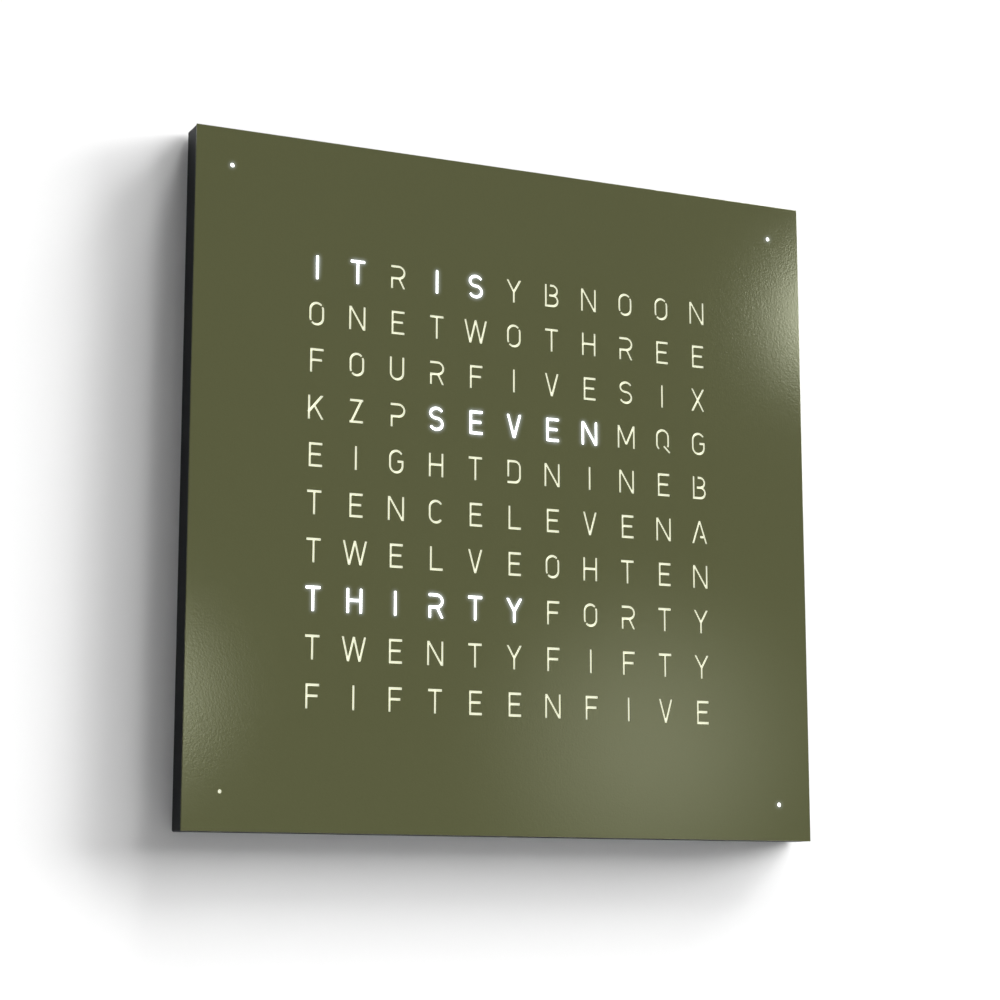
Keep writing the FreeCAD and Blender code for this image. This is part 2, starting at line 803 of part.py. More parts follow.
def cable(points, radius):
    """Round cable along straight runs joined by tangent arcs."""
    corners = [Vector(*point) for point in points]
    edges = []
    start = corners[0]
    for before, here, after in zip(corners, corners[1:], corners[2:]):
        into = (here - before).normalize()
        out = (after - here).normalize()
        reach = bend_share * min((here - before).Length, (after - here).Length)
        bend = reach / math.tan(into.getAngle(out) / 2)
        first = here - into * reach
        last = here + out * reach
        centre = first + (out - into * into.dot(out)).normalize() * bend
        middle = centre + (here - centre).normalize() * bend
        edges += [Part.LineSegment(start, first).toShape(), Part.Arc(first, middle, last).toShape()]
        start = last
    edges.append(Part.LineSegment(start, corners[-1]).toShape())
    circle = Part.Circle(corners[0], corners[1] - corners[0], radius).toShape()
    return Part.Wire(edges).makePipeShell([Part.Wire([circle])], True, False)


def ribbon_cable():
    """Flat cable from the letter board to the control board, lying on its two plugs."""
    x = (ribbon_ends[0] - plug_side / 2, ribbon_ends[1] + plug_side / 2)
    return box(x, (plug_back_y, plug_back_y + ribbon_thickness), ribbon_span)


def cable_plugs():
    """Plugs on the backs of the boards: two for the ribbon, two for each round cable."""
    starts = (led_board_back_y, control_back_y)
    ribbon = [
        box((x - plug_side / 2, x + plug_side / 2), (y, plug_back_y), ribbon_span)
        for x, y in zip(ribbon_ends, starts)
    ]
    y = (control_back_y, plug_back_y)
    round_plugs = (inlet_plug, supply_plug, receiver_plug, signal_plug)
    return ribbon + [block(x, z, plug_side, plug_side, y) for x, z in round_plugs]


def slack_run(level, columns_along):
    """Points behind the letter board that wander by the cable's slack about a level line."""
    return [(x * column_pitch, level + (-1) ** i * cable_slack) for i, x in enumerate(columns_along)]


def supply_cable():
    """Supply lead from the inlet's board, behind the letter board, to the control board's foot."""
    x, z = inlet_plug
    route = [(x, z + plug_side / 2), (x, supply_level - 2 * cable_slack)]
    route += slack_run(supply_level, (1, 2, 3.5, 5))
    x, z = supply_plug
    route += [(x, z - plug_side / 2 - row_pitch), (x, z - plug_side / 2)]
    return cable([(x, plug_axis_y, z) for x, z in route], round_cable_radius)


def receiver_cable():
    """Signal lead from the time receiver, behind the letter board, to the control board."""
    x, z = receiver_plug
    route = [(x + plug_side / 2, z), (x + column_pitch, z)]
    route += slack_run(receiver_level, (-4, -2, 0, 2, 3.5))
    x, z = signal_plug
    route += [(led_half_x - column_pitch / 2, z), (x - plug_side / 2, z)]
    return cable([(x, plug_axis_y, z) for x, z in route], round_cable_radius)


def antenna_lead():
    """Thin lead from the coil's side, past the clip, to the front of the receiver's board."""
    lead_y = control_front_y - antenna_lead_radius
    coil_z = antenna_height - coil_length / 2 + clip_width / 2
    side_x = ferrite_radius + clip_wall + antenna_lead_radius + antenna_lead_gap - margin_x
    board_z = receiver_z + receiver_board_size[1] / 2 - clip_width
    points = [
        (coil_radius + screw_gap - margin_x, lead_y, coil_z),
        (side_x, lead_y, coil_z),
        (side_x, lead_y, board_z),
    ]
    return cable(points, antenna_lead_radius)


def minute_link(i, j):
    """Flat two-core link from the letter board's corner to a minute light's board."""
    y = (led_board_back_y, led_board_back_y + link_thickness)
    level_z = led_half_z - link_width
    reach_x = minute_place + link_width / 2
    level = box(
        sorted((i * (led_half_x - link_width), i * reach_x)), y,
        sorted((j * (level_z - link_width / 2), j * (level_z + link_width / 2))),
    )
    stand = box(
        sorted((i * (reach_x - link_width), i * reach_x)), y,
        sorted((j * level_z, j * (minute_board_end + minute_pad_length / 2))),
    )
    return level.fuse(stand).removeSplitter()


def button_link():
    """Flat link from near the control board foot to the top of the button board, with a step between."""
    control_right = control_x + control_board_size[0] / 2
    y = (control_back_y, control_back_y + link_thickness)
    start = control_foot + link_inset
    end = button_board_span[1] - link_width
    level = box((control_right - link_width, button_board_back_x), y, (start, start + link_width))
    step = box(
        (button_board_back_x - link_width, button_board_back_x), y,
        (min(start, end), max(start, end) + link_width),
    )
    return level.fuse(step).removeSplitter()


os.makedirs("parts", exist_ok=True)

# The wall's side
export("wall_bracket", wall_bracket())

# The front that pulls off
export("front_cover", front_cover())
export("cover_pins", cover_pins())

# Housing
export("casing_frame", casing_frame())
export("back_panel", back_panel())
export("back_panel_screws", [screw(x, z, flange_y + rib_thickness + fit_gap) for x, z in casing_screws])
export("cover_magnets", [rod_y(x, z, magnet_radius, (front_y + screw_gap, front_y + magnet_height))
                         for x, z in magnet_places])
export("hanger_pocket", hanger_pocket())
export("hanger_rail", hanger_rail())
export("hanger_rivets", [rivet(x, z) for x, z in rivet_places()])
bumper_place = half - bumper_inset
export("wall_bumpers", [wall_bumper(i * bumper_place, j * bumper_place) for i, j in CORNERS])

# Light chambers
export("diffuser_panel", diffuser_panel())
export("light_grid", light_grid())
export("led_board", led_board())
export("matrix_leds", [led(x, z) for x, z in letter_places()])
export("led_drivers", led_drivers())
export("light_sensor", light_sensor())
export("minute_light_boxes", [minute_light_box(i, j) for i, j in CORNERS])
export("minute_boards", [minute_board(i, j) for i, j in CORNERS])
export("minute_leds", [led(i * minute_place, j * minute_place) for i, j in CORNERS])

# What carries the boards
grid_tip = led_board_front_y - screw_bite + fit_gap
export("board_spacers", [spacer(x, z, led_board_back_y) for x, z in grid_screws + minute_screws])
export("board_screws", [screw(x, z, grid_tip) for x, z in grid_screws + minute_screws])
export("short_spacers", [spacer(x, z, control_back_y) for x, z in raised_screws])
export("short_screws", [screw(x, z, control_front_y - nut_height) for x, z in raised_screws])
export("board_nuts", [nut(x, z) for x, z in raised_screws])

# Control electronics
export("control_board", raised_board(control_x, control_board_height, control_board_size, control_screws))
export("microcontroller", on_board(control_x, chip_height, chip_size))
export("voltage_regulator", on_board(control_x, regulator_height, regulator_size))
export("coin_cell", coin_cell())
export("cell_holder", cell_holder())
export("receiver_board", raised_board(-margin_x, receiver_z, receiver_board_size, receiver_screws))
export("radio_tuner", on_board(-margin_x, receiver_z, tuner_size))
export("ferrite_rod", ferrite_rod())
export("antenna_coil", antenna_coil())
export("antenna_clips", [antenna_clip(side) for side in SIGNS])

# Power inlet
export("inlet_pocket", inlet_pocket())
export("inlet_board", raised_board(0, inlet_board_z, inlet_board_size, inlet_screws))
export("power_socket", power_socket())

# Cables
export("ribbon_cable", ribbon_cable())
export("supply_cable", supply_cable())
export("receiver_cable", receiver_cable())
export("antenna_lead", antenna_lead())
export("minute_links", [minute_link(i, j) for i, j in CORNERS])
export("button_link", button_link())
export("cable_plugs", cable_plugs())

# Battery lid and buttons
export("battery_lid", battery_lid())
export("button_board", button_board())
export("button_board_brackets", [button_board_bracket(z) for z in bracket_heights()])
export("button_switches", [button_switch(z) for z in button_heights])
for name, height in zip(button_names, button_heights[::-1]):
    export(name, button_cap(height))
    export(name + "_plunger", switch_plunger(height))
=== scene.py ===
"""The word clock's looks: stencilled front, lit diffuser, driven screws, finishes, wall, lights
and camera.

Sizes are in millimetres up to the point where a mesh is made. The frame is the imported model's: X to
the right as seen from the front, Y into the wall, Z up.
"""

import json
import math
import random

import bmesh
import bpy
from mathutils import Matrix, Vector
from mathutils.geometry import delaunay_2d_cdt


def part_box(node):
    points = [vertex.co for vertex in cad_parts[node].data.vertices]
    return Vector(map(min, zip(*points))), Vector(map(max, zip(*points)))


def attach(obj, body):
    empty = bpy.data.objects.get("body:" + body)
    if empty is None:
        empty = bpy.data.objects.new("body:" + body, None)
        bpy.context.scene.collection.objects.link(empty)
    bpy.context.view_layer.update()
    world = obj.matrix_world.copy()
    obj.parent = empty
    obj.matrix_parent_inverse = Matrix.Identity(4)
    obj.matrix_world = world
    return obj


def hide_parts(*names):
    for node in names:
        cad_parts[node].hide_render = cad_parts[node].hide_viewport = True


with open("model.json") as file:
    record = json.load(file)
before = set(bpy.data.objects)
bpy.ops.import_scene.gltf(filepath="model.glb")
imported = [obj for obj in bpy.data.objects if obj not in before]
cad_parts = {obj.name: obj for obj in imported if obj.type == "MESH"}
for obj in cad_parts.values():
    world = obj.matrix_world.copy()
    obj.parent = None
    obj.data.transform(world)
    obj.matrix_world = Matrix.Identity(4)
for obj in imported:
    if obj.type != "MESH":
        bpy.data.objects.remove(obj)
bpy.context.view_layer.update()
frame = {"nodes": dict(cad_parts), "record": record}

MM = 0.001
QUARTER = math.pi / 2

# ---- camera ----

# Place and nearest distance in metres, lens and sensor in millimetres. Place, direction and lens
# are fitted to the front's corners in the photograph.
CAMERA_PLACE = (-0.66734, -1.42980, -0.45956)
CAMERA_FORWARD = (0.415814, 0.892487, 0.174831)
CAMERA_LENS = 85.88
CAMERA_SENSOR = 36.0
CAMERA_NEAR = 0.05

# ---- letters ----

LETTER_ROWS = (
    "ITRISYBNOON",
    "ONETWOTHREE",
    "FOURFIVESIX",
    "KZPSEVENMQG",
    "EIGHTDNINEB",
    "TENCELEVENA",
    "TWELVEOHTEN",
    "THIRTYFORTY",
    "TWENTYFIFTY",
    "FIFTEENFIVE",
)
# Seven thirty: the row, first column and last column of each lit word.
LIT_WORDS = ((0, 0, 1), (0, 3, 4), (3, 3, 7), (7, 0, 5))
COLUMN_PITCH = 28.25
ROW_PITCH = 31.0
STROKE = 1.6
# Half a letter's height, to its outline and to the middle of a level stroke.
CAP = 7.9
BAR = CAP - STROKE / 2
# A round letter's radius, and the height of its upper centre.
ROUND = 4.4
SHOULDER = BAR - ROUND
# Degrees between two points of an arc.
ARC_STEP = 12.0

# ---- front sheet, diffuser and screws ----

EDGE_ROUND = 0.3
EDGE_STEPS = 3
HOLE_POINTS = 24
MINUTE_INSET = 24.5
MINUTE_HOLE_RADIUS = 1.3
# The minute lights that are on, as signs of X and Z from the clock's middle.
LIT_MINUTES = ((-1, 1), (1, 1), (1, -1))
MINUTE_BOX_SIDE = 12.0
RIB_THICKNESS = 1.2
SCREW_NODES = ("back_panel_screws", "board_screws", "short_screws")
# A cross recess: its arms at the head's face, its depth, how much of its width is left at the
# bottom, and how far the cutter stands out of the head.
RECESS_REACH = 1.6
RECESS_WIDTH = 0.75
RECESS_DEPTH = 0.9
RECESS_TAPER = 0.5
RECESS_ABOVE = 0.4
# Edges sharper than this angle in degrees are shown sharp.
SMOOTH_ANGLE = 32.0
# A face whose normal runs along Y by more than this is flat, and is not shaded smooth.
FLAT_NORMAL = 0.999
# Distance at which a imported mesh's split vertices are joined.
WELD = 0.001
# What the triangulation works to, and its mode that keeps all triangles inside an outline.
TRIANGLE_SLACK = 1e-4
KEEP_INSIDE = 1

# ---- surroundings ----

WALL_GAP = 0.2
WALL_SPAN = 6000.0
WALL_TONE = 0.9
FLOOR_Z = -1900.0
FLOOR_DEPTH = 800.0
FLOOR_TONE = 0.62
AMBIENT = 0.175
# Distant lights: degrees round from the clock's right towards its top, degrees off the wall,
# strength, and width in degrees. The first six are the rounded result of a least-squares search
# for the photographed shadow. The last two stand behind the wall, for the views of the back.
SUNS = (
    (15.0, 10.0, 5.5, 20.0),
    (45.0, 10.0, 3.9, 20.0),
    (75.0, 6.0, 3.2, 20.0),
    (70.0, 16.0, 1.2, 20.0),
    (30.0, 16.0, 1.3, 14.0),
    (30.0, 35.0, 0.4, 20.0),
    (15.0, -40.0, 2.4, 30.0),
    (80.0, -50.0, 2.4, 14.0),
)
# Soft boxes that the satin front mirrors: place in metres, width in metres, power in watts.
SOFT_BOXES = (
    ((1.203, -1.430, 0.409), 0.31, 3.9),
    ((0.146, -1.430, -0.183), 0.32, 1.55),
    ((0.864, -1.430, -0.225), 0.54, 1.56),
)
# Middle and radius of a round light in its own coordinates, which run from 0 to 1.
DISK_MIDDLE = (0.5, 0.5, 0.0)
DISK_RADIUS = 0.5
WHITE = (1.0, 1.0, 1.0, 1.0)

# ---- camera glow ----

# Brightness above which a pixel glows; blur radius in pixels and weight of each layer of the glow.
GLOW_THRESHOLD = 1.6
GLOW_LAYERS = ((2.0, 0.45), (6.0, 0.6))
GLOW_TINT = (0.9, 0.95, 1.0)


# ---- letter outlines ----


def arc(x, z, radius_x, radius_z, start, end):
    """Points along an ellipse, between two angles in degrees."""
    steps = max(2, round(abs(end - start) / ARC_STEP))
    turns = [math.radians(start + (end - start) * i / steps) for i in range(steps + 1)]
    return [(x + radius_x * math.cos(t), z + radius_z * math.sin(t)) for t in turns]


def upper(start, end):
    """Part of a round letter's upper end."""
    return arc(0, SHOULDER, ROUND, ROUND, start, end)


def lower(start, end):
    """Part of a round letter's lower end."""
    return arc(0, -SHOULDER, ROUND, ROUND, start, end)


def band(points):
    """Outline of a stroke along open points, with mitred corners and square ends."""
    points = [Vector(p) for p in points]
    steps = [(b - a).normalized() for a, b in zip(points, points[1:])]
    left = []
    right = []
    for i, point in enumerate(points):
        before = steps[max(i - 1, 0)]
        middle = before + steps[min(i, len(steps) - 1)]
        across = Vector((-middle.y, middle.x)).normalized()
        reach = STROKE / 2 / across.dot(Vector((-before.y, before.x)))
        left.append(point + across * reach)
        right.append(point - across * reach)
    return left + right[::-1]


def slant(top, bottom):
    """Outline of a sloping stroke whose two ends are cut level."""
    rise = top[1] - bottom[1]
    half = STROKE / 2 * math.hypot(top[0] - bottom[0], rise) / rise
    return [
        (top[0] - half, top[1]),
        (bottom[0] - half, bottom[1]),
        (bottom[0] + half, bottom[1]),
        (top[0] + half, top[1]),
    ]


# Each letter is a list of stroke outlines. Closed letters are left open somewhere, so that no
# counter falls out. The widths follow the photographed letters as a scratch script measured them,
# rounded. The stroke ends and gaps were read from enlarged cut-outs of those letters. The words
# are other ones.
LETTERS = {
    "A": [
        slant((0, CAP), (-5.2, -CAP)),
        slant((0, CAP), (5.2, -CAP)),
        band([(0.1, -3.3), (3.6, -3.3)]),
    ],
    "B": [
        band([(-4.2, CAP), (-4.2, -BAR), *arc(0.9, -3.45, 3.8, 3.65, -90, 90), (-1.9, 0.2)]),
        band([(-1.2, BAR), *arc(0.8, 3.65, 3.5, 3.45, 90, -90)]),
    ],
    "C": [band([*upper(32, 180), *lower(180, 328)])],
    "D": [
        band(
            [
                (-4.2, -3.4),
                (-4.2, BAR),
                *arc(0.6, SHOULDER + 0.4, 3.8, 4.0, 90, 0),
                *arc(0.6, -SHOULDER - 0.4, 3.8, 4.0, 0, -90),
                (-5.0, -BAR),
            ]
        )
    ],
    "E": [
        band([(5.2, BAR), (-3.4, BAR), (-3.4, -BAR), (5.2, -BAR)]),
        band([(-3.4, 0.3), (4.2, 0.3)]),
    ],
    "F": [band([(5.2, BAR), (-3.4, BAR), (-3.4, -CAP)]), band([(-3.4, 0.2), (4.2, 0.2)])],
    "G": [band([*upper(32, 180), *lower(180, 360), (ROUND, 0.1), (0.7, 0.1)])],
    "H": [
        band([(-4.5, CAP), (-4.5, -CAP)]),
        band([(4.5, CAP), (4.5, -CAP)]),
        band([(-4.5, 0.3), (4.5, 0.3)]),
    ],
    "I": [band([(0, CAP), (0, -CAP)])],
    "K": [
        band([(-4.4, CAP), (-4.4, -CAP)]),
        slant((4.5, CAP), (-4.6, -3.0)),
        slant((-0.8, 1.4), (4.9, -CAP)),
    ],
    "L": [band([(-3.4, CAP), (-3.4, -BAR), (5.2, -BAR)])],
    "M": [
        band([(-5.9, CAP), (-5.9, -CAP)]),
        band([(5.9, CAP), (5.9, -CAP)]),
        slant((-5.8, CAP), (0, -5.2)),
        slant((5.8, CAP), (0, -5.2)),
    ],
    "N": [
        band([(-5.0, CAP), (-5.0, -CAP)]),
        band([(5.0, CAP), (5.0, -CAP)]),
        slant((-4.86, CAP), (4.86, -CAP)),
    ],
    "O": [band([*upper(42, 180), *lower(180, 207)]), band([*upper(27, 0), *lower(0, -138)])],
    "P": [band([(-4.4, BAR), *arc(1.2, 3.1, 4.2, 4.0, 90, -90), (-3.5, -0.9), (-3.5, -CAP)])],
    "Q": [
        band([*lower(231, 180), *upper(180, 0), *lower(0, -24)]),
        band([(0.9, -3.9), (5.6, -8.3)]),
    ],
    "R": [
        band([(-4.8, BAR), *arc(0.6, 3.1, 4.2, 4.0, 90, -90), (-4.0, -0.9), (-4.0, -CAP)]),
        slant((0.9, -0.6), (4.7, -CAP)),
    ],
    "S": [band([*arc(0, 3.75, 4.2, 3.35, 24, 270), *arc(0, -3.35, 4.3, 3.75, 90, -156)[1:]])],
    "T": [band([(-5.0, BAR), (5.0, BAR)]), band([(0, BAR), (0, -CAP)])],
    "U": [band([(-ROUND, CAP), *lower(180, 360), (ROUND, CAP)])],
    "V": [slant((-4.4, CAP), (0, -CAP)), slant((4.4, CAP), (0, -CAP))],
    "W": [
        slant((-7.6, CAP), (-3.9, -CAP)),
        slant((0, CAP), (-3.9, -CAP)),
        slant((0, CAP), (3.9, -CAP)),
        slant((7.6, CAP), (3.9, -CAP)),
    ],
    "X": [slant((-4.4, CAP), (4.4, -CAP)), slant((4.4, CAP), (-4.4, -CAP))],
    "Y": [
        slant((-4.7, CAP), (0, -0.5)),
        slant((4.7, CAP), (0, -0.5)),
        band([(0, 0.2), (0, -CAP)]),
    ],
    "Z": [
        band([(-4.6, BAR), (4.8, BAR)]),
        band([(-4.8, -BAR), (4.8, -BAR)]),
        slant((3.8, CAP), (-3.8, -CAP)),
    ],
}


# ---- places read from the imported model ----

cover_low, cover_high = (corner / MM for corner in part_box("front_cover"))
HALF = (cover_high.x - cover_low.x) / 2
CENTRE_X = (cover_low.x + cover_high.x) / 2
CENTRE_Z = (cover_low.z + cover_high.z) / 2
FINISH_SLOTS = {part["node"]: part["material_slot"] for part in frame["record"]["subparts"]}


def column_x(column):
    """Middle of a letter column."""
    return CENTRE_X + (column - (len(LETTER_ROWS[0]) - 1) / 2) * COLUMN_PITCH


def row_z(row):
    """Middle of a letter row, counted from the top."""
    return CENTRE_Z + ((len(LETTER_ROWS) - 1) / 2 - row) * ROW_PITCH


def minute_place(sign_x, sign_z):
    """Middle of a minute light."""
    return CENTRE_X + sign_x * (HALF - MINUTE_INSET), CENTRE_Z + sign_z * (HALF - MINUTE_INSET)


# ---- finishes ----

# Length over which a wave texture of scale 1 repeats.
WAVE_LENGTH = math.pi / 10
# Depth of the grooves between stripes, as a part of their pitch.
STRIPE_DEPTH = 0.1


class Finish:
    """A material built from noise, bumps and blends in the object's own coordinates."""

    def __init__(self, name):
        self.material = bpy.data.materials.new(name)
        self.material.use_nodes = True
        self.tree = self.material.node_tree
        self.shader = self.tree.nodes["Principled BSDF"]
        self.where = self.add("ShaderNodeTexCoord").outputs["Object"]

    def add(self, kind, inputs=None, **settings):
        """A new node, with some of its settings and unlinked inputs."""
        node = self.tree.nodes.new(kind)
        for name, value in settings.items():
            setattr(node, name, value)
        for name, value in (inputs or {}).items():
            node.inputs[name].default_value = value
        return node

    def link(self, source, target):
        self.tree.links.new(source, target)

    def mapped(self, **inputs):
        """The object's coordinates, scaled or turned by axis."""
        node = self.add("ShaderNodeMapping", inputs)
        self.link(self.where, node.inputs["Vector"])
        return node.outputs["Vector"]

    def noise(self, scale, detail=3.0, where=None):
        """Noise with so many cells in a metre."""
        node = self.add("ShaderNodeTexNoise", {"Scale": scale, "Detail": detail})
        self.link(where or self.where, node.inputs["Vector"])
        return node.outputs["Fac"]

    def spread(self, factor, low, high, from_low=0.3, from_high=0.7):
        """A factor spread over a range of values. Noise keeps to the middle of its range."""
        span = {"From Min": from_low, "From Max": from_high, "To Min": low, "To Max": high}
        node = self.add("ShaderNodeMapRange", span)
        self.link(factor, node.inputs["Value"])
        return node.outputs["Result"]

    def around(self, factor, middle, margin, **span):
        """A factor spread evenly about one value."""
        return self.spread(factor, middle - margin, middle + margin, **span)

    def blend(self, factor, first, second):
        """A colour between two colours."""
        node = self.add("ShaderNodeMix", data_type="RGBA")
        colours = [socket for socket in node.inputs if socket.type == "RGBA"]
        for socket, colour in zip(colours, (first, second)):
            socket.default_value = (*colour, 1)
        self.link(factor, node.inputs["Factor"])
        return next(socket for socket in node.outputs if socket.type == "RGBA")

    def mottled(self, factor, colour, amount):
        """A colour that strays to a darker and a lighter tone by a part of itself."""
        return self.blend(
            factor,
            [c * (1 - amount) for c in colour],
            [min(1, c * (1 + amount)) for c in colour],
        )

    def bump(self, height, depth, normal=None):
        """A bump of one depth, in millimetres, on top of another."""
        node = self.add("ShaderNodeBump", {"Strength": 1.0, "Distance": depth * MM})
        self.link(height, node.inputs["Height"])
        if normal:
            self.link(normal, node.inputs["Normal"])
        return node.outputs["Normal"]

    def wear(self, **sockets):
        """Links or sets the shader's own sockets by their names, with spaces as underscores."""
        for name, value in sockets.items():
            socket = self.shader.inputs[name.replace("_", " ")]
            if isinstance(value, bpy.types.NodeSocket):
                self.link(value, socket)
            else:
                socket.default_value = value
        return self.material


def moulded(
    name,
    colour,
    roughness,
    grain_size=0.5,
    grain_depth=0.02,
    mottle=0.06,
    specular=0.5,
    tint=WHITE,
):
    """Moulded plastic or rubber: a spark-eroded grain and a faint cloudiness."""
    finish = Finish(name)
    grain = finish.noise(1 / (grain_size * MM), detail=2.0)
    return finish.wear(
        Base_Color=finish.mottled(finish.noise(scale=35.0), colour, mottle),
        Roughness=finish.around(grain, roughness, margin=0.06),
        Specular_IOR_Level=specular,
        Specular_Tint=tint,
        Normal=finish.bump(grain, grain_depth),
    )


def metal(name, colour, roughness, stretch=(1, 1, 1), grain_size=0.3, grain_depth=0.006):
    """Bare or plated metal with a grain that can run in one direction."""
    finish = Finish(name)
    grain = finish.noise(1 / (grain_size * MM), detail=4.0, where=finish.mapped(Scale=stretch))
    return finish.wear(
        Base_Color=finish.mottled(finish.noise(scale=60.0), colour, amount=0.07),
        Metallic=1.0,
        Roughness=finish.around(grain, roughness, margin=0.08),
        Normal=finish.bump(grain, grain_depth),
    )


def galvanised(name, colour, roughness):
    """Zinc-coated sheet: flat crystals that differ a little in tone and gloss."""
    finish = Finish(name)
    crystals = finish.add("ShaderNodeTexVoronoi", {"Scale": 240.0})
    finish.link(finish.where, crystals.inputs["Vector"])
    split = finish.add("ShaderNodeSeparateColor")
    finish.link(crystals.outputs["Color"], split.inputs["Color"])
    tone, gloss = split.outputs["Red"], split.outputs["Green"]
    return finish.wear(
        Base_Color=finish.mottled(tone, colour, amount=0.09),
        Metallic=1.0,
        Roughness=finish.around(gloss, roughness, margin=0.1, from_low=0, from_high=1),
        Normal=finish.bump(finish.noise(scale=1500.0, detail=2.0), depth=0.01),
    )


def circuit_board(name, mask, trace):
    """Solder-masked board: thin raised traces under a glossy mask, over a woven base."""
    finish = Finish(name)
    # The traces' places and widths are in metres.
    traces = finish.add(
        "ShaderNodeTexBrick",
        {
            "Scale": 1.0,
            "Mortar Size": 0.0006,
            "Brick Width": 0.019,
            "Row Height": 0.0043,
            "Mortar Smooth": 0.1,
        },
    )
    finish.link(finish.mapped(Rotation=(QUARTER, 0, 0)), traces.inputs["Vector"])
    weave = finish.noise(scale=1600.0, detail=1.0)
    raised = finish.bump(traces.outputs["Fac"], depth=0.03)
    return finish.wear(
        Base_Color=finish.blend(traces.outputs["Fac"], mask, trace),
        Roughness=finish.spread(weave, low=0.24, high=0.36),
        Normal=finish.bump(weave, depth=0.004, normal=raised),
    )


def striped(name, first, second, pitch, axis, roughness, metallic=0.0):
    """Conductors or windings that lie side by side along one axis."""
    finish = Finish(name)
    lines = finish.add(
        "ShaderNodeTexWave",
        {"Scale": WAVE_LENGTH / (pitch * MM)},
        bands_direction=axis,
        wave_profile="SIN",
    )
    finish.link(finish.where, lines.inputs["Vector"])
    return finish.wear(
        Base_Color=finish.blend(lines.outputs["Fac"], first, second),
        Metallic=metallic,
        Roughness=finish.around(finish.noise(scale=900.0), roughness, margin=0.05),
        Normal=finish.bump(lines.outputs["Fac"], depth=STRIPE_DEPTH * pitch),
    )


def powder_coat(name, colour):
    """Satin powder coat with a fine pebbled skin."""
    finish = Finish(name)
    pebbles = finish.noise(scale=880.0, detail=1.0)
    return finish.wear(
        Base_Color=finish.mottled(pebbles, colour, amount=0.035),
        Roughness=finish.spread(pebbles, low=0.075, high=0.105),
        Specular_Tint=(0.96, 1.0, 0.74, 1.0),
        Normal=finish.bump(pebbles, depth=0.028),
    )


def opal(name, colour, glow):
    """Light-diffusing sheet whose faint emission is painted light: a glow that brightens the unlit
    letters, which their slots would shade.
    """
    finish = Finish(name)
    return finish.wear(
        Base_Color=finish.mottled(finish.noise(scale=50.0), colour, amount=0.02),
        Roughness=finish.spread(finish.noise(scale=1800.0, detail=2.0), low=0.5, high=0.62),
        # The emission is painted light, not a lamp: it lifts the shaded unlit letters.
        Emission_Color=(*colour, 1),
        Emission_Strength=glow,
    )


def lit_opal(name, colour, strength):
    """Diffuser with its light-emitting diode on."""
    finish = Finish(name)
    return finish.wear(
        Base_Color=finish.blend(
            finish.noise(scale=50.0), first=(0.8, 0.8, 0.78), second=(0.86, 0.86, 0.84)
        ),
        Roughness=0.55,
        Emission_Color=(*colour, 1),
        Emission_Strength=strength,
    )


def plaster(name, tone, one_sided):
    """Plain painted plaster. One-sided plaster can be looked through from behind."""
    finish = Finish(name)
    material = finish.wear(
        Base_Color=finish.mottled(finish.noise(scale=4.0), (tone, tone, tone), amount=0.01),
        Roughness=0.9,
        Specular_IOR_Level=0.1,
    )
    if one_sided:
        side = finish.add("ShaderNodeNewGeometry")
        ray = finish.add("ShaderNodeLightPath")
        either = finish.add("ShaderNodeMath", operation="MAXIMUM")
        clear = finish.add("ShaderNodeBsdfTransparent")
        mix = finish.add("ShaderNodeMixShader")
        finish.link(side.outputs["Backfacing"], either.inputs[0])
        finish.link(ray.outputs["Is Shadow Ray"], either.inputs[1])
        finish.link(either.outputs["Value"], mix.inputs[0])
        finish.link(finish.shader.outputs["BSDF"], mix.inputs[1])
        finish.link(clear.outputs["BSDF"], mix.inputs[2])
        finish.link(mix.outputs["Shader"], finish.tree.nodes["Material Output"].inputs["Surface"])
    return material


